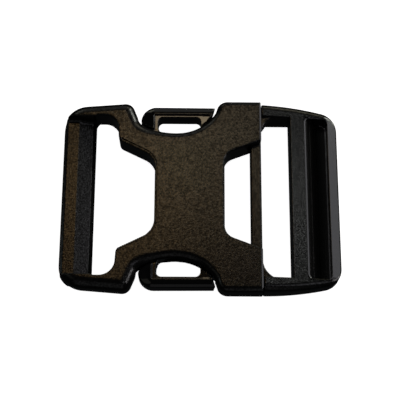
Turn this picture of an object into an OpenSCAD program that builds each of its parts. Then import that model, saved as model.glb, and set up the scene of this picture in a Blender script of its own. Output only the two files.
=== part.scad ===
// Side-release buckle for flat webbing, fastened: an X-shaped socket and the plug locked in it.
// It lies on its underside. X runs from the socket's webbing bar to the plug's end bar, Z is up,
// and the origin is on the rest plane under the middle of the buckle. Millimetres.

/* [Overall] */
// from the middle of the buckle to either end
end_x = 32.25; // [32.0:0.05:32.6]
// thickness of the socket
socket_t = 7.8; // [7.5:0.1:8.2]
// rounding of the outer edges
edge_r = 1.6; // [1.0:0.1:1.7]
// width of the flatter rounding under the socket's outer edges
under_r = 2.0; // [1.6:0.1:2.0]
// chamfer round the windows at the top
chamfer = 0.4; // [0.2:0.1:0.6]
// chamfer round the windows at the underside
under_chamfer = 1.4; // [1.0:0.1:1.5]

/* [Webbing] */
// half of the length of the socket's webbing slot
slot_half = 19.1; // [19.0:0.1:19.3]
// width of the socket's webbing bar
bar_w = 7.5; // [7.0:0.1:7.6]
// height of the socket's webbing bar over the rest plane
bar_top = 4.7; // [4.3:0.1:5.1]
// half of the length of the plug's two slots
plug_slot_half = 19.5; // [19.3:0.1:19.7]

/* [Socket] */
// outside of the cheeks, from the middle line
cheek_y = 22.5; // [22.4:0.1:22.7]
// bottom of the waist, from the middle line
waist_y = 15.2; // [15.1:0.1:15.4]
// outside of the shoulders, from the middle line
shoulder_y = 23.1; // [23.0:0.1:23.4]
// mouth of the socket
mouth_x = 14.2; // [14.1:0.05:14.3]
// left side of the middle block
block_x0 = -10.5; // [-10.7:0.1:-10.3]
// right side of the middle block
block_x1 = 5.6; // [5.4:0.1:5.8]
// thickness of the plates over and under the latch
plate_t = 1.7; // [1.5:0.1:1.8]

/* [Plug frame] */
// gap between the socket's mouth and the plug's frame
seam = 0.15; // [0.1:0.05:0.3]
// outside of the side rails at the seam, from the middle line
rail_y = 22.7; // [22.5:0.1:22.9]
// height of the frame at the seam
plug_t = 7.4; // [7.2:0.1:7.6]
// height of the frame at the end bar
plug_end_t = 4.9; // [4.7:0.1:5.3]
// left side of the middle bar
middle_x0 = 21.0; // [20.8:0.1:21.2]
// right side of the middle bar at the top
middle_x1 = 24.6; // [24.4:0.1:24.8]
// left side of the end bar
end_bar_x = 29.9; // [29.9:0.1:30.2]
// underside of the end bar over the rest plane
end_bar_z = 2.9; // [2.7:0.1:3.0]
// width of the cross-bar in the socket's mouth
cross_w = 2.5; // [2.3:0.1:2.7]

/* [Latch] */
// clearance between the latch and the plates of the socket
latch_gap = 0.3; // [0.2:0.05:0.35]
// outside of the latch arms, from the middle line
arm_y = 19.5; // [19.4:0.1:19.6]
// width of a latch arm
arm_w = 3.1; // [2.8:0.1:3.2]
// outside of the release tabs, from the middle line
tab_y = 21.7; // [21.6:0.1:21.9]
// width of a tab's raised rim
rim_w = 1.7; // [1.6:0.1:1.8]
// underside of a tab over the rest plane
rim_z = 1.3; // [1.0:0.1:1.5]
// height of a tab with its raised rim
rim_t = 5.8; // [5.5:0.1:6.1]
// rounding of a tab's outer edges
rim_r = 1.0; // [0.8:0.1:1.2]
// depth of the ledge inside the rim
ledge_drop = 0.2; // [0.1:0.1:0.4]

/* [Hidden] */
mid_z = socket_t / 2;
cavity_t = socket_t - 2 * plate_t;
latch_t = cavity_t - 2 * latch_gap;
frame_x = mouth_x + seam;
over = 3;
waist_x = -5.55;
cheek_corner_r = 6;
crest_r = 2.2;
shoulder_r = 2.6;
flank = 27;
rise = 58.7;
arm_slope = 28.5;
heel_r = 1.7;
block_r = 4.5;
jaw_slope = 21;
jaw_r = 3.1;
rail_r = 70;
frame_corner_r = 4.5;
rail_turn = acos((end_x - frame_corner_r - frame_x) / (rail_r - frame_corner_r));
gusset_r = 4.9;
throat_r = 0.6;
lip_r = 1.1;
slot_side_x = end_bar_x - 4.05;
lip_top = plug_end_t + 0.5;
lip_bottom = plug_end_t - 0.8;
foot_t = 0.5;
foot_x = end_bar_x + 0.5;
bevel = 25;
bevel_x = end_bar_x - 0.9;
bevel_z = plug_end_t + 0.6;
exit_half = plug_slot_half - 0.4;
tab_x0 = -14.0;
tab_x1 = 3.2;
tab_r = 3.5;
hole_x0 = -9.95;
hole_x1 = 0.1;
hole_y = 19.45;
hole_r = 1.2;
ledge_z = mid_z + latch_t / 2 - ledge_drop;

// points of an elliptic arc round c, from angle a0 to angle a1 in n steps
function arc(c, rx, ry, a0, a1, n = 8) =
    [for (i = [0:n]) let (a = a0 + (a1 - a0) * i / n) [c[0] + rx * cos(a), c[1] + ry * sin(a)]];

// a half outline over the middle line, closed by its mirror image; it runs clockwise
function mirrored(pts) = concat(pts, [for (i = [len(pts) - 1:-1:0]) [pts[i][0], -pts[i][1]]]);

function way(p, q) = (q - p) / norm(q - p);

// corner i of a clockwise outline moved inwards by d, with the sides kept parallel
function moved(pts, i, d) =
    let (n = len(pts),
         u = way(pts[(i + n - 1) % n], pts[i]),
         v = way(pts[i], pts[(i + 1) % n]),
         a = [u[1], -u[0]],
         b = [v[1], -v[0]])
    pts[i] + d * (a + b) / (1 + a * b);

function grown(pts, d) = [for (i = [0:len(pts) - 1]) moved(pts, i, -d)];

// levels of a slab from z = 0 to t with both edges rounded: height, then inset of the outline;
// the upper rounding has radius r, the lower one is w wide and h high
function rounded(t, r, w, h) = concat(
    [for (a = [90:-30:0]) [h * (1 - sin(a)), w * (1 - cos(a))]],
    [for (a = [0:30:90]) [t - r * (1 - sin(a)), r * (1 - cos(a))]]);

// levels of a cutter from z = 0 to t that opens out by under at the lower face and c at the upper
function flared(t, under, c) =
    [[-over, -under], [0, -under], [under, 0], [t - c, 0], [t, -c], [t + over, -c]];

// solid through the levels of a mirrored outline whose half runs on in x all the way;
// the heights shrink by the share lean per unit of x beyond x0
module lofted(pts, levels, lean = 0, x0 = 0) {
    n = len(pts);
    m = len(levels);
    corners = [for (l = levels) for (i = [0:n - 1])
        let (p = moved(pts, i, l[1])) [p[0], p[1], l[0] * (1 - lean * (p[0] - x0))]];
    lower = [for (k = [0:m - 2]) for (i = [0:n - 1])
        [k * n + i, k * n + (i + 1) % n, (k + 1) * n + (i + 1) % n]];
    upper = [for (k = [0:m - 2]) for (i = [0:n - 1])
        [k * n + i, (k + 1) * n + (i + 1) % n, (k + 1) * n + i]];
    top = (m - 1) * n;
    base = [for (i = [0:n / 2 - 2]) [n - 1 - i, n - 2 - i, i + 1, i]];
    roof = [for (i = [0:n / 2 - 2]) [top + i, top + i + 1, top + n - 2 - i, top + n - 1 - i]];
    polyhedron(corners, concat(base, roof, lower, upper));
}

// prism along Y with a section given in X and Z, centred on the middle line
module prism_y(section, length) {
    translate([0, length / 2, 0])
        rotate([90, 0, 0])
            linear_extrude(length)
                polygon(section);
}

// slab of a plan outline, centred on the height of the latch
module latch_slab(t) {
    translate([0, 0, mid_z - t / 2])
        linear_extrude(t)
            children();
}

module both_sides() {
    children();
    mirror([0, 1, 0])
        children();
}

// outlines

corner_y = cheek_y - 0.7 - cheek_corner_r;
socket_outline = mirrored(concat(
    arc([cheek_corner_r - end_x, corner_y], cheek_corner_r, cheek_corner_r, 180, 96),
    arc([-17.65, cheek_y - crest_r], crest_r, crest_r, 92, flank, 4),
    arc([waist_x, waist_y + 3.9], 9, 3.9, 193.2, 270),
    arc([waist_x, waist_y + 10.8], 10.7, 10.8, 277, 270 + rise),
    arc([6.3, shoulder_y - shoulder_r], shoulder_r, shoulder_r, 90 + rise, 90, 3),
    [[mouth_x + over, shoulder_y]]));

web_y = slot_half + 0.3;
slot_outline = mirrored(concat(
    [[-end_x - over, slot_half], [bar_w - end_x + 0.2, slot_half], [bar_w - end_x + 0.7, web_y]],
    arc([-22.7, web_y - 3.5], 3.5, 3.5, 90, 0, 6),
    arc([-17.4, 14.3], heel_r, heel_r, 180, 270 - arm_slope, 4),
    arc([block_x0 - block_r, 6.2], block_r, block_r, 90 - arm_slope, 0, 5)));

jaw_arc = arc([block_x1 + jaw_r, 7.7], jaw_r, jaw_r, 180, 90 + jaw_slope, 5);
jaw_end = jaw_arc[len(jaw_arc) - 1];
jaw_run = mouth_x + 2 * over - jaw_end[0];
jaw_outline = mirrored(concat(jaw_arc, [jaw_end + jaw_run * [1, tan(jaw_slope)]]));

frame_corner = [frame_x, rail_y - rail_r]
    + (rail_r - frame_corner_r) * [cos(rail_turn), sin(rail_turn)];
frame_outline = mirrored(concat(
    [[frame_x - over, rail_y]],
    arc([frame_x, rail_y - rail_r], rail_r, rail_r, 90, rail_turn, 4),
    arc(frame_corner, frame_corner_r, frame_corner_r, rail_turn - 10, 0)));

gusset_y = plug_slot_half + 0.5 - gusset_r;
arm_inner_y = arm_y - arm_w;
latch_outline = concat(
    arc([tab_x0 + tab_r, tab_y - tab_r], tab_r - 0.3, tab_r - 0.3, 180, 90),
    [[tab_x1 - 0.2, tab_y - 0.4], [tab_x1 - 0.8, arm_y], [mouth_x, arm_y], [mouth_x, gusset_y]],
    [[mouth_x - cross_w, gusset_y], [mouth_x - cross_w, arm_inner_y], [3.8, arm_inner_y]],
    arc([-5.6, 17.2], 8.1, 4.4, 345, 185));

gusset_outline = concat(
    [[mouth_x - 0.5, arm_y], [mouth_x - 0.5, gusset_y]],
    arc([mouth_x + gusset_r, gusset_y], gusset_r, gusset_r, 180, 90, 6),
    [[mouth_x + gusset_r, rail_y - 2], [frame_x + 0.05, rail_y - 2], [frame_x + 0.05, arm_y]]);

rim_outline = mirrored(concat(
    arc([tab_x0 + tab_r, tab_y - tab_r], tab_r, tab_r, 180, 90),
    [[tab_x1, tab_y - 0.1]]));

tab_end = [[tab_x1, tab_y], [tab_x1 + 1, tab_y], [tab_x1 + 1, 14], [tab_x1 - 2.6, 14]];

tab_hole = concat(
    arc([hole_x0 + hole_r, hole_y - hole_r], hole_r, hole_r, 180, 90, 4),
    arc([hole_x1 - hole_r, hole_y - hole_r], hole_r, hole_r, 90, 0, 4),
    arc([(hole_x0 + hole_x1) / 2, 17], (hole_x1 - hole_x0) / 2, 2.8, 0, -180));

ledge_outline = [[hole_x0 - 0.9, 11], [hole_x0 - 0.9, tab_y - rim_w], [2.1, tab_y - rim_w],
    [0.2, 17], [0.2, 11]];

cavity_outline = concat(
    [[-14.6, shoulder_y + over], [2.6, shoulder_y + over], [2.6, arm_y + 0.4]],
    [[mouth_x + over, arm_y + 0.4], [mouth_x + over, 10], [mouth_x - cross_w - 0.5, 10]],
    [[mouth_x - cross_w - 0.5, 14.7], [2.2, 14.7]],
    arc([-5.6, 17.2], 9, 4.9, 330, 180));

// pieces

bar_section = [
    [-end_x, 1.3], [-end_x, bar_top - 1], [0.3 - end_x, bar_top - 0.3], [1 - end_x, bar_top],
    [3.7 - end_x, bar_top], [bar_w - 0.7 - end_x, bar_top - 1.3], [bar_w - end_x, bar_top - 2.1],
    [bar_w - end_x, 1.2], [bar_w - 0.6 - end_x, 0.6], [0.7 - end_x, 0.6]];

// the bar that the fixed end of the webbing is sewn round
module webbing_bar() {
    color("#2b2a29")
        intersection() {
            prism_y(bar_section, 2 * web_y + 2);
            linear_extrude(socket_t)
                polygon(socket_outline);
        }
}

// the X-shaped body: two cheeks, the middle block and two hollow jaws
module socket_body() {
    color("#242322")
        difference() {
            lofted(socket_outline, rounded(socket_t, edge_r, under_r, socket_t / 2));
            lofted(slot_outline, flared(socket_t, under_chamfer, chamfer));
            lofted(jaw_outline, flared(socket_t, under_chamfer, chamfer));
            both_sides()
                latch_slab(cavity_t)
                    polygon(cavity_outline);
            translate([mouth_x, -shoulder_y - over, -over])
                cube([3 * over, 2 * (shoulder_y + over), socket_t + 2 * over]);
        }
}

module socket() {
    union() {
        socket_body();
        webbing_bar();
    }
}

// first slot, from the seam to the middle bar
module first_slot() {
    w = middle_x0 - frame_x + over;
    translate([frame_x - over, -plug_slot_half, -over])
        cube([w, 2 * plug_slot_half, plug_t + 2 * over]);
}

// outline of the second slot from x0 to the end bar, with corners of radius r
function throat(x0, r) = mirrored(concat(
    arc([x0 + r, plug_slot_half - r], r, r, 180, 90, 4),
    arc([end_bar_x - r, plug_slot_half - r], r, r, 90, 0, 4)));

lip_x1 = slot_side_x + throat_r;
lip_section = [
    [middle_x1, socket_t], [middle_x1, lip_top], [slot_side_x, lip_bottom],
    [lip_x1, lip_bottom], [lip_x1, socket_t]];

// height of the ramp that the middle bar's foot makes under the slot
function ramp_z(x) = lip_bottom - (x - slot_side_x) * (lip_bottom - foot_t) / (foot_x - slot_side_x);

throat_section = [
    [slot_side_x - 1, 2 * socket_t], [slot_side_x - 1, ramp_z(slot_side_x - 1)],
    [foot_x, foot_t], [foot_x, 2 * socket_t]];

exit_x = slot_side_x + (foot_x - slot_side_x) * (lip_bottom - end_bar_z) / (lip_bottom - foot_t);
exit_section = [
    [exit_x, end_bar_z], [end_x + over, end_bar_z], [end_x + over, -1], [foot_x, -1],
    [foot_x, foot_t]];

// second slot: down the ramp of the middle bar's foot and out under the end bar
module second_slot() {
    intersection() {
        linear_extrude(socket_t)
            polygon(throat(slot_side_x, throat_r));
        prism_y(throat_section, 2 * plug_slot_half + 1);
    }
    intersection() {
        linear_extrude(socket_t)
            polygon(throat(middle_x1, lip_r));
        prism_y(lip_section, 2 * plug_slot_half);
    }
    prism_y(exit_section, 2 * exit_half);
}

bevel_drop = (end_x + over - bevel_x) * tan(bevel);
bevel_section = [
    [bevel_x, bevel_z], [end_x + over, bevel_z - bevel_drop], [end_x + over, 2 * socket_t],
    [bevel_x, 2 * socket_t]];

// two side rails, the middle bar with its foot, and the end bar
module frame() {
    lean = (plug_t - plug_end_t) / (end_x - frame_x) / plug_t;
    color("#2a2a2b")
        difference() {
            lofted(frame_outline, rounded(plug_t, edge_r, edge_r, edge_r), lean, frame_x);
            translate([0, -shoulder_y - over, -over])
                cube([frame_x, 2 * (shoulder_y + over), socket_t + 2 * over]);
            first_slot();
            second_slot();
            prism_y(bevel_section, 2 * (shoulder_y + over));
        }
}

// bar across the mouth that joins the two latch arms
module cross_bar() {
    color("#33302d")
        translate([mouth_x - cross_w, -gusset_y - 0.5, mid_z - latch_t / 2])
            cube([cross_w, 2 * gusset_y + 1, latch_t]);
}

// a tab's window and the ledge round it
module tab_window() {
    latch_slab(socket_t + over)
        polygon(tab_hole);
    translate([0, 0, ledge_z])
        linear_extrude(socket_t)
            polygon(ledge_outline);
}

// a latch arm
module latch() {
    color("#262524")
        difference() {
            latch_slab(latch_t)
                polygon(latch_outline);
            tab_window();
        }
}

// web in the corner of the first slot that ties a latch arm to its side rail
module gusset() {
    color("#2b2a2a")
        translate([0, 0, mid_z])
            linear_extrude(latch_t / 2)
                polygon(gusset_outline);
}

// the two release tabs with their raised rims, clear of the socket's plates
module tabs() {
    color("#1f1e1d")
        difference() {
            translate([0, 0, rim_z])
                lofted(rim_outline, rounded(rim_t, rim_r, rim_r, rim_r));
            latch_slab(socket_t + over) {
                polygon(grown(socket_outline, latch_gap));
                both_sides()
                    polygon(tab_end);
            }
            both_sides()
                tab_window();
        }
}

module plug() {
    union() {
        frame();
        cross_bar();
        both_sides() {
            latch();
            gusset();
        }
        tabs();
    }
}

socket();
plug();
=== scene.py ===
"""A fastened side-release buckle of black moulded plastic, on a white ground, in metres."""

import math

import bpy
import numpy as np
from mathutils import Matrix, Vector


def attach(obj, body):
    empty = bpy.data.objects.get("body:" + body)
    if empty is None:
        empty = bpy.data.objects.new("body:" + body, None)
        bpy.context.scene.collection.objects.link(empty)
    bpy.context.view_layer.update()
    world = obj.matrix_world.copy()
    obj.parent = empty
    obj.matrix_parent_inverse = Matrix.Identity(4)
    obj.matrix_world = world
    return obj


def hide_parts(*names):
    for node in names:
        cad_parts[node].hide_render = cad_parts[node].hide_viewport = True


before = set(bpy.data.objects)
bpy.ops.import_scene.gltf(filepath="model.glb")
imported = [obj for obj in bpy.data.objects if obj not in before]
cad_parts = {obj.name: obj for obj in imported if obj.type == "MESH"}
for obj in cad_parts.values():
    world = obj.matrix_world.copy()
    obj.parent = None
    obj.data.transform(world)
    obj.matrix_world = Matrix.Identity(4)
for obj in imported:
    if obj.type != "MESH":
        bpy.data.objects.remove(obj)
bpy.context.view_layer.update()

MM = 0.001
STEP = 0.24  # width of the meshes' cells, in millimetres
STEPS_ONTO, SLOPE_EPS = 3, 0.01

# camera: the photograph's viewpoint, fitted to the buckle's outline; millimetres and degrees

ELEVATION, AZIMUTH, ROLL = 71.06, 0.981, 1.251
FOCAL_PX, IMAGE_PX, SENSOR = 1080.6, 400, 36.0
POSITION = (-1.432, -81.838, 241.221)


def make_camera():
    e, a, r = (math.radians(v) for v in (ELEVATION, AZIMUTH, ROLL))
    forward = Vector((math.sin(a) * math.cos(e), math.cos(a) * math.cos(e), -math.sin(e)))
    level = Vector((math.cos(a), -math.sin(a), 0))
    upright = level.cross(forward)
    right = level * math.cos(r) + upright * math.sin(r)
    up = upright * math.cos(r) - level * math.sin(r)
    data = bpy.data.cameras.new("camera")
    data.sensor_width = SENSOR
    data.lens = FOCAL_PX / IMAGE_PX * SENSOR
    data.clip_start, data.clip_end = 0.01, 10
    cam = bpy.data.objects.new("camera", data)
    bpy.context.scene.collection.objects.link(cam)
    m = Matrix((right, up, -forward)).transposed().to_4x4()
    m.translation = Vector(POSITION) * MM
    cam.matrix_world = m
    bpy.context.scene.camera = cam


make_camera()

# distance fields, in millimetres: negative inside a solid


def arc(cx, cy, rx, ry, a0, a1, n=20):
    """Points of an elliptic arc round (cx, cy) from angle a0 to a1, in degrees."""
    t = np.radians(np.linspace(a0, a1, n + 1))
    return [(cx + rx * c, cy + ry * s) for c, s in zip(np.cos(t), np.sin(t))]


def mirrored(half):
    return half + [(x, -y) for x, y in half[::-1]]


def outline(points):
    """The signed distance in the plane to a closed outline."""
    start = np.array(points, float)
    sides = list(zip(start, np.roll(start, -1, 0)))

    def distance(x, y):
        x, y = np.broadcast_arrays(x, y)
        best = np.full(x.shape, 1e9)
        inside = np.zeros(x.shape, bool)
        for (ax, ay), (bx, by) in sides:
            ex, ey = bx - ax, by - ay
            px, py = x - ax, y - ay
            t = np.clip((px * ex + py * ey) / (ex * ex + ey * ey + 1e-12), 0, 1)
            best = np.minimum(best, (px - t * ex) ** 2 + (py - t * ey) ** 2)
            if ey:
                inside ^= ((ay > y) != (by > y)) & (px < ex * py / ey)
        return np.where(inside, -1, 1) * np.sqrt(best)

    return distance


def box(x, y, x0, x1, y0, y1):
    """The signed distance in the plane to a rectangle."""
    dx, dy = abs(x - (x0 + x1) / 2) - (x1 - x0) / 2, abs(y - (y0 + y1) / 2) - (y1 - y0) / 2
    return np.hypot(np.maximum(dx, 0), np.maximum(dy, 0)) + np.minimum(np.maximum(dx, dy), 0)


def slab(flat, z, z0, z1, r=0.0):
    """A flat shape given height from z0 to z1, its edges rounded by r."""
    return both(flat, abs(z - (z0 + z1) / 2) - (z1 - z0) / 2, r)


def both(a, b, r=0.0):
    """Where both solids are, with the edge between them rounded by r."""
    u, v = np.maximum(a + r, 0), np.maximum(b + r, 0)
    return np.minimum(np.maximum(a, b), -r) + np.hypot(u, v)


def join(a, b, r=0.0):
    """Either solid, with a fillet of radius r in the corner between them."""
    return -both(-a, -b, r)


def cut(a, b, r=0.0):
    """The first solid without the second, with the edge rounded by r."""
    return both(a, -b, r)


def spaced(start, end, step, fine):
    """Places from start to past end, a step apart, and half a step apart in the fine ranges."""
    places = [start]
    while places[-1] < end:
        closer = any(a < places[-1] < b for a, b in fine)
        places.append(places[-1] + (step / 2 if closer else step))
    return np.array(places)


def slope_at(field, p):
    """The field at the points p, and its slope there."""
    d = field(*p.T)
    g = [field(*(p + SLOPE_EPS * np.eye(3)[n]).T) - d for n in range(3)]
    return d, np.stack(g, 1) / SLOPE_EPS


def surface(field, low, high, step, fine_x, fine_y):
    """Vertices, normals and quads of the field's zero surface.

    The field is worked out for y above 0 only, because each solid is its own mirror image in y.
    Each cell that the surface passes through gets a vertex, which then steps down the field's slope
    onto the surface, so that edges come out sharp.
    """
    xs, zs = spaced(low[0], high[0], step, fine_x), spaced(low[2], high[2], step, ())
    ys = spaced(step / 2, high[1], step, fine_y)
    ys = np.concatenate([-ys[::-1], ys])
    ny = len(ys)
    half = field(xs[:, None, None], ys[None, ny // 2:, None], zs[None, None, :])
    f = np.concatenate([half[:, ::-1], half], 1)
    solid = f < 0
    corners = [(i, j, k) for i in (0, 1) for j in (0, 1) for k in (0, 1)]

    def shifted(a, i, j, k):
        return a[i:a.shape[0] - 1 + i, j:a.shape[1] - 1 + j, k:a.shape[2] - 1 + k]

    count = sum(shifted(solid, *c).astype(np.int8) for c in corners)
    cells = np.argwhere((count > 0) & (count < 8))
    index = np.full(count.shape, -1, np.int64)
    index[tuple(cells.T)] = np.arange(len(cells))
    value = {c: f[tuple((cells + c).T)] for c in corners}
    total, crossings = np.zeros((len(cells), 3)), np.zeros(len(cells))
    for c in corners:
        for axis in range(3):
            if c[axis] == 0:
                e = tuple(1 if n == axis else v for n, v in enumerate(c))
                a, b = value[c], value[e]
                hit = (a < 0) != (b < 0)
                t = np.where(hit, a / np.where(hit, a - b, 1), 0)
                p = np.array(c, float) + np.eye(3)[axis] * t[:, None]
                total += p * hit[:, None]
                crossings += hit
    grid = cells + total / crossings[:, None]
    v = np.stack([np.interp(g, np.arange(len(a)), a) for g, a in zip(grid.T, (xs, ys, zs))], 1)
    keep = np.flatnonzero(cells[:, 1] >= (ny - 2) // 2)
    p = v[keep]
    d, g = slope_at(field, p)
    for _ in range(STEPS_ONTO):
        size = np.maximum((g ** 2).sum(1), 0.05)
        p = p - np.clip(d / size, -0.3 * step, 0.3 * step)[:, None] * g
        d, g = slope_at(field, p)
    g /= np.maximum(np.linalg.norm(g, axis=1), 1e-9)[:, None]
    twin = index[cells[keep, 0], ny - 2 - cells[keep, 1], cells[keep, 2]]
    normals = np.zeros_like(v)
    flip = np.array([1, -1, 1])
    v[twin], normals[twin] = p * flip, g * flip
    v[keep], normals[keep] = p, g
    quads = []
    for axis in range(3):
        o, w = [(1, 2), (2, 0), (0, 1)][axis]
        lo = solid.take(range(0, solid.shape[axis] - 1), axis)
        hi = solid.take(range(1, solid.shape[axis]), axis)
        for out, mask in ((True, lo & ~hi), (False, ~lo & hi)):
            at = np.argwhere(mask)
            at = at[(at[:, o] > 0) & (at[:, w] > 0)]
            ring = []
            for so, sw in ((1, 1), (0, 1), (0, 0), (1, 0)):
                q = at.copy()
                q[:, o] -= so
                q[:, w] -= sw
                ring.append(index[tuple(q.T)])
            ring = np.stack(ring, 1)
            quads.append(ring if out else ring[:, ::-1])
    return v, normals, np.concatenate(quads)


def piece(name, node, field, low, high, fine_x, fine_y, is_smooth, play=0.0):
    """A mesh of the field in place of a CAD node.

    is_smooth picks the faces that have no grain. play moves the free ends of the latch arms, left of
    PLAY_X0, toward +y, and fades out toward PLAY_X1.
    """
    v, normals, quads = surface(field, low, high, STEP, fine_x, fine_y)
    v[:, 1] += play * np.clip((PLAY_X1 - v[:, 0]) / (PLAY_X1 - PLAY_X0), 0, 1)
    mesh = bpy.data.meshes.new(name)
    mesh.from_pydata((v * MM).tolist(), [], quads.tolist())
    mesh.update()
    mesh.shade_smooth()
    mesh.normals_split_custom_set_from_vertices(normals.tolist())
    obj = bpy.data.objects.new(name, mesh)
    bpy.context.scene.collection.objects.link(obj)
    mesh.materials.append(grained_plastic)
    mesh.materials.append(smooth_plastic)
    x, y, z = v[quads].mean(1).T
    mesh.polygons.foreach_set("material_index", is_smooth(x, abs(y), z).astype(np.int32))
    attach(obj, "root")
    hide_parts(node)


# sizes, in millimetres, as in the CAD apart from the edges' rounding and the tabs' rims

END_X, SOCKET_T, MID_Z = 32.25, 7.8, 3.9
EDGE_R, UNDER_R, UNDER_CHAMFER = 1.6, 3.2, 1.4
PLATE_T = 1.7
MOUTH_X, FRAME_X = 14.2, 14.35
BLOCK_X0, BLOCK_X1 = -10.5, 5.6
SLOT_HALF, BAR_W, BAR_TOP = 19.1, 7.5, 4.7
PLUG_HALF, RAIL_Y, RAIL_R, FRAME_R = 19.5, 22.7, 70, 4.5
PLUG_T, PLUG_END_T = 7.4, 4.9
MIDDLE_X0, MIDDLE_X1, END_BAR_X = 21.0, 24.6, 29.9
ARM_Y, CROSS_W = 19.5, 2.5
TAB_X0, TAB_X1, TAB_Y, RIM_Y, RIM_Z0, RIM_Z1, RIM_R = -14.0, 3.65, 22.0, 19.95, 1.3, 6.35, 1.1
LEDGE_Z = 5.6
ARM_Z0, ARM_Z1 = 2.0, 5.8
BEVEL_X, BEVEL_Z, BEVEL_TILT = 30.0, 5.05, 25
SLOPE_X, SLOPE_Z, SLOPE_R = 23.35, 3.635, 2.5
RAMP_X, RAMP_Z, RAMP_FALL = 25.85, 4.1, 0.791
MOUTH_EDGE, SLOT_EDGE, SLOT_IN, LIP_R = 0.4, 0.38, 0.2, 1.1
PLAY_X0, PLAY_X1, PLAY = 3, 9, 0.22
LEAN = (PLUG_T - PLUG_END_T) / (END_X - FRAME_X) / PLUG_T

socket_flat = outline(mirrored(
    arc(6 - END_X, 16.1, 6, 6, 180, 96)
    + arc(-17.65, 20.6, 2.2, 2.2, 92, 27)
    + arc(-5.55, 19.1, 9, 3.9, 193.2, 270)
    + arc(-5.55, 26.0, 10.7, 10.8, 277, 328.7)
    + arc(6.3, 20.5, 2.6, 2.6, 148.7, 90)
    + [(MOUTH_X + 3, 23.1)]))
slot_flat = outline(mirrored(
    [(-END_X - 3, SLOT_HALF), (BAR_W - END_X + 0.2, SLOT_HALF), (BAR_W - END_X + 0.7, SLOT_HALF + 0.3)]
    + arc(-22.7, SLOT_HALF - 3.2, 3.5, 3.5, 90, 0)
    + arc(-17.4, 14.3, 1.7, 1.7, 180, 241.5)
    + arc(BLOCK_X0 - 4.5, 6.2, 4.5, 4.5, 61.5, 0)))
jaw_flat = outline(mirrored(
    arc(BLOCK_X1 + 3.1, 7.7, 3.1, 3.1, 180, 111)
    + [(MOUTH_X + 6, 7.7 + 3.1 * math.sin(math.radians(111))
        + math.tan(math.radians(21)) * (MOUTH_X + 6 - BLOCK_X1 - 3.1 * (1 + math.cos(math.radians(111)))))]))
cavity_flat = outline(
    [(-14.6, 26.1), (2.6, 26.1), (2.6, 19.9), (17.2, 19.9), (17.2, 10), (11.2, 10), (11.2, 14.7), (2.2, 14.7)]
    + arc(-5.6, 17.2, 9, 4.9, 330, 180))
bar_flat = outline([
    (-END_X, 1.3), (-END_X, BAR_TOP - 1), (0.3 - END_X, BAR_TOP - 0.3), (1 - END_X, BAR_TOP),
    (3.7 - END_X, BAR_TOP), (BAR_W - 0.7 - END_X, BAR_TOP - 1.3), (BAR_W - END_X, BAR_TOP - 2.1),
    (BAR_W - END_X, 1.2), (BAR_W - 0.6 - END_X, 0.6), (0.7 - END_X, 0.6)])


def window(flat, z):
    """The cutter of a window, which opens out at the underside."""
    return np.minimum(flat, (flat - UNDER_CHAMFER + z) * 0.707)


def socket_field(x, y, z):
    y = abs(y)
    body_flat = socket_flat(x, y)
    upper = z > SOCKET_T / 2
    r = np.where(upper, np.interp(x, (-15, -10, 3, 6), (2.3, EDGE_R, EDGE_R, 1.2)),
                 np.interp(x, (-15, -10), (3.8, UNDER_R)))
    body = both(body_flat, np.where(upper, z - SOCKET_T, -z), r)
    slot = slot_flat(x, y)
    body = cut(body, window(slot, z), 0.3)
    rebate = both(slot - 0.5, 7.5 - z, 0.05)
    rebate = both(both(rebate, x + 9.6), -18.3 - x)
    body = cut(body, rebate, 0.08)
    body = cut(body, window(jaw_flat(x, y), z), 0.3)
    body = both(body, x - MOUTH_X, 0.2)
    body = both(body, ((z - SOCKET_T) + (x - MOUTH_X + MOUTH_EDGE) * 0.466) * 0.906)
    body = cut(body, slab(cavity_flat(x, y), z, PLATE_T, SOCKET_T - PLATE_T), 0.25)
    bar = both(bar_flat(x, z), y - 20.4)
    bar = both(bar, body_flat, 0.3)
    return join(body, bar, 0.9)


turn = math.degrees(math.acos((END_X - FRAME_R - FRAME_X) / (RAIL_R - FRAME_R)))
corner = (FRAME_X + (RAIL_R - FRAME_R) * math.cos(math.radians(turn)),
          RAIL_Y - RAIL_R + (RAIL_R - FRAME_R) * math.sin(math.radians(turn)))
frame_flat = outline(mirrored(
    [(FRAME_X - 3, RAIL_Y)]
    + arc(FRAME_X, RAIL_Y - RAIL_R, RAIL_R, RAIL_R, 90, turn)
    + arc(*corner, FRAME_R, FRAME_R, turn - 5, 0)))
gusset_flat = outline(
    [(FRAME_X - 0.2, 20.6), (19.1, 20.6)] + arc(19.1, 15.1, 4.9, 4.9, 90, 168) + [(FRAME_X - 0.2, 15.4)])
arm_flat = outline(
    arc(-10.5, 18.2, 3.2, 3.2, 180, 90)
    + [(2.75, 21.3), (2.1, ARM_Y), (FRAME_X + 0.05, ARM_Y), (FRAME_X + 0.05, 20.6),
       (FRAME_X + 1, 20.6), (FRAME_X + 1, 18.4), (MOUTH_X, 16.9), (MOUTH_X, 15.1),
       (MOUTH_X - CROSS_W, 15.1), (MOUTH_X - CROSS_W, 16.4), (3.8, 16.4)]
    + arc(-5.6, 17.2, 8.1, 4.4, 345, 185))
rim_flat = outline(mirrored(arc(TAB_X0 + 3.5, TAB_Y - 3.5, 3.5, 3.5, 180, 90) + [(TAB_X1, TAB_Y - 0.1)]))
hole_flat = outline(
    arc(-8.75, 18.25, 1.2, 1.2, 180, 90)
    + arc(-1.1, 18.25, 1.2, 1.2, 90, 0)
    + arc(-4.925, 17, 5.025, 2.8, 0, -180))
ledge_flat = outline([(-10.85, 11), (-10.85, RIM_Y), (2.4, RIM_Y), (0.5, 17), (0.5, 11)])


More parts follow.
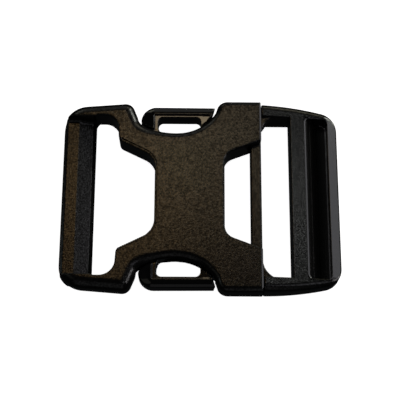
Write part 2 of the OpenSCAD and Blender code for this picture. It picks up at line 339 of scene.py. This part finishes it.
def plug_field(x, y, z):
    y = abs(y)
    level = z / (1 - LEAN * (x - FRAME_X))
    body = slab(frame_flat(x, y), level, 0, PLUG_T, EDGE_R)
    body = both(body, FRAME_X - x, 0.3)
    tilt = math.radians(BEVEL_TILT)
    body = both(body, (x - BEVEL_X) * math.sin(tilt) + (z - BEVEL_Z) * math.cos(tilt), 0.2)
    body = cut(body, box(x, y, FRAME_X - 5, MIDDLE_X0, -PLUG_HALF, PLUG_HALF), 0.3)
    side = PLUG_HALF - LIP_R
    lip = box(x, y, MIDDLE_X1 + SLOT_IN + LIP_R, END_BAR_X - LIP_R, -side, side) - LIP_R
    ramp = (RAMP_Z - z - (x - RAMP_X) * RAMP_FALL) / math.hypot(1, RAMP_FALL)
    slope = np.maximum(SLOPE_R - np.hypot(x - SLOPE_X, np.maximum(z - SLOPE_Z, 0)), ramp)
    body = cut(body, both(lip, slope), 0.2)
    top = PLUG_T * (1 - LEAN * (x - FRAME_X))
    body = both(body, np.where(x < 29, (z - top + (SLOT_EDGE - lip) * 0.33) * 0.95, -1))
    body = cut(body, both(both(z - 2.9, y - 19.1), np.minimum(ramp, 30.4 - x)), 0.15)
    gusset = slab(gusset_flat(x, y), z, MID_Z, 6.3, 0.2)
    body = join(body, gusset, 0.2)
    arm = slab(arm_flat(x, y), z, ARM_Z0, ARM_Z1, 0.3)
    dip = 0.35 * np.maximum(-10.9 - x, 0)
    arm = both(arm, (z - ARM_Z1 + dip) * 0.95)
    arm = both(arm, np.where((x > 0.5) & (x < 3), z - ARM_Z1 + 0.4 * (20.4 - y), -1))
    bar = slab(box(x, y, MOUTH_X - CROSS_W, MOUTH_X, -16, 16), z, ARM_Z0, ARM_Z1, 0.3)
    arm = join(arm, bar, 0.3)
    tab = slab(rim_flat(x, y), z, RIM_Z0, RIM_Z1, RIM_R)
    fall = dip + 0.1 * (y - 20) + 0.12 * np.maximum(y - 20, 0) ** 2
    tab = both(tab, z - RIM_Z1 + fall, 0.4)
    tab = cut(tab, socket_flat(x, y) - 0.3, 0.2)
    tab = both(tab, (x - TAB_X1 + (TAB_Y - y) * 0.39 + (RIM_Z1 - z) * 0.09) * 0.928, 0.2)
    pocket = both(ledge_flat(x, y), LEDGE_Z - z)
    tab = cut(tab, pocket, 0.25)
    arm = join(cut(arm, pocket), tab, 0.1)
    arm = cut(arm, hole_flat(x, y), 0.15)
    return join(body, arm, 0.2)


# materials


def plastic(name, grain, rough, depth, dullest, brightest):
    """Black moulded plastic: size and depth of its texture, and the range of its sheen."""
    mat = bpy.data.materials.new(name)
    mat.use_nodes = True
    nodes, links = mat.node_tree.nodes, mat.node_tree.links
    shader = nodes["Principled BSDF"]
    shader.inputs["Base Color"].default_value = (0.003, 0.003, 0.003, 1)
    place = nodes.new("ShaderNodeTexCoord")
    fine = nodes.new("ShaderNodeTexNoise")
    fine.inputs["Scale"].default_value = 1 / (grain * MM)
    fine.inputs["Detail"].default_value = 2
    links.new(place.outputs["Object"], fine.inputs["Vector"])
    shader.inputs["Roughness"].default_value = rough
    sheen = nodes.new("ShaderNodeMapRange")
    sheen.inputs["From Min"].default_value, sheen.inputs["From Max"].default_value = 0.38, 0.7
    sheen.inputs["To Min"].default_value, sheen.inputs["To Max"].default_value = dullest, brightest
    links.new(fine.outputs["Fac"], sheen.inputs["Value"])
    links.new(sheen.outputs["Result"], shader.inputs["Specular IOR Level"])
    bump = nodes.new("ShaderNodeBump")
    bump.inputs["Strength"].default_value = 1
    bump.inputs["Distance"].default_value = depth * MM
    links.new(fine.outputs["Fac"], bump.inputs["Height"])
    links.new(bump.outputs["Normal"], shader.inputs["Normal"])
    return mat


grained_plastic = plastic("grained_plastic", 0.4, 0.25, 0.02, 0.26, 0.95)
smooth_plastic = plastic("smooth_plastic", 0.8, 0.12, 0.002, 0.78, 0.82)


def socket_smooth(x, y, z):
    walls = (z < 7) & (z > 0.9) & (socket_flat(x, y) < -1.2) & (x > -24)
    return walls | (x > MOUTH_X - 0.42) & (z > 7)


def plug_smooth(x, y, z):
    tab = (x < 3.8) & (y > 13) & (z < 7.2)
    end_bar = (x > 29.9) & (y < 19) & (z > 1)
    edge = (x > 24.35) & (x < 24.85) & (y < 19.6) | (x > 24.35) & (x < 30) & (y > 19.5) & (y < 19.95)
    throat = (x > 26) & (x < 30) & (y < 19.6)
    return tab | end_bar | edge & (z > 5) | throat


piece("socket_body", "socket", socket_field, (-32.7, 0, -0.4), (14.7, 23.7, 8.2), (), (), socket_smooth)
piece("plug_body", "plug", plug_field, (-14.6, 0, -0.4), (32.7, 23.2, 8.2),
      ((24.0, 25.2), (29.4, 30.4)), ((18.6, 20.8),), plug_smooth, PLAY)

# ground and light


def make_ground():
    mesh = bpy.data.meshes.new("ground")
    mesh.from_pydata([(-2, -2, -1e-4), (2, -2, -1e-4), (2, 2, -1e-4), (-2, 2, -1e-4)], [], [(0, 1, 2, 3)])
    ground = bpy.data.objects.new("ground", mesh)
    bpy.context.scene.collection.objects.link(ground)
    mat = bpy.data.materials.new("ground")
    mat.use_nodes = True
    shader = mat.node_tree.nodes["Principled BSDF"]
    shader.inputs["Base Color"].default_value = (0.9, 0.9, 0.9, 1)
    shader.inputs["Roughness"].default_value = 0.9
    shader.inputs["Emission Color"].default_value = (1, 1, 1, 1)
    shader.inputs["Emission Strength"].default_value = 1.0
    mesh.materials.append(mat)
    ground.visible_glossy = ground.visible_diffuse = False


def lamp(name, lean_y, lean_x, size, red, green, blue):
    """A square lamp 0.8 m away, leaning from straight above by angles toward +y and +x."""
    data = bpy.data.lights.new(name, "AREA")
    data.shape, data.size = "SQUARE", size
    most = max(red, green, blue)
    data.energy, data.color = math.pi * size * size * most, (red / most, green / most, blue / most)
    away = Vector((math.tan(math.radians(lean_x)), math.tan(math.radians(lean_y)), 1)).normalized()
    light = bpy.data.objects.new(name, data)
    light.location = away * 0.8
    light.rotation_mode = "QUATERNION"
    light.rotation_quaternion = (-away).to_track_quat("-Z", "Y")
    bpy.context.scene.collection.objects.link(light)


make_ground()
lamp("warm", 19, -7, 0.09, 3.1, 1.85, 0.7)
lamp("key", 23, 0, 0.1, 2.85, 2.3, 1.5)
lamp("cool", 19, 19, 0.09, 3.4, 3.5, 3.4)
lamp("slope", 10, 42, 0.12, 0.9, 0.85, 0.9)
lamp("side", 28, 52, 0.25, 0.95, 0.95, 1.0)
lamp("right", -3, 68, 0.25, 4.4, 4.2, 4.3)
lamp("back_right", 64, 68, 0.3, 5.5, 5.6, 5.1)
lamp("back", 64, 38, 0.22, 1.5, 1.4, 1.0)
lamp("back_left", 64, -45, 0.22, 0.75, 0.75, 0.6)
lamp("behind", 62, -5, 0.6, 0.22, 0.22, 0.21)
lamp("left", 16, -65, 0.25, 0.8, 0.9, 0.9)
lamp("front_left", -20, -45, 0.4, 0.12, 0.12, 0.1)
lamp("front", -66, -8, 0.8, 0.1, 0.1, 0.1)
lamp("front_right", -20, 30, 0.22, 0.65, 0.65, 0.7)

world = bpy.data.worlds.new("world")
world.use_nodes = True
world.node_tree.nodes["Background"].inputs["Color"].default_value = (0.9, 0.95, 1.0, 1)
world.node_tree.nodes["Background"].inputs["Strength"].default_value = 0.011
bpy.context.scene.world = world
bpy.context.scene.view_settings.view_transform = "Standard"
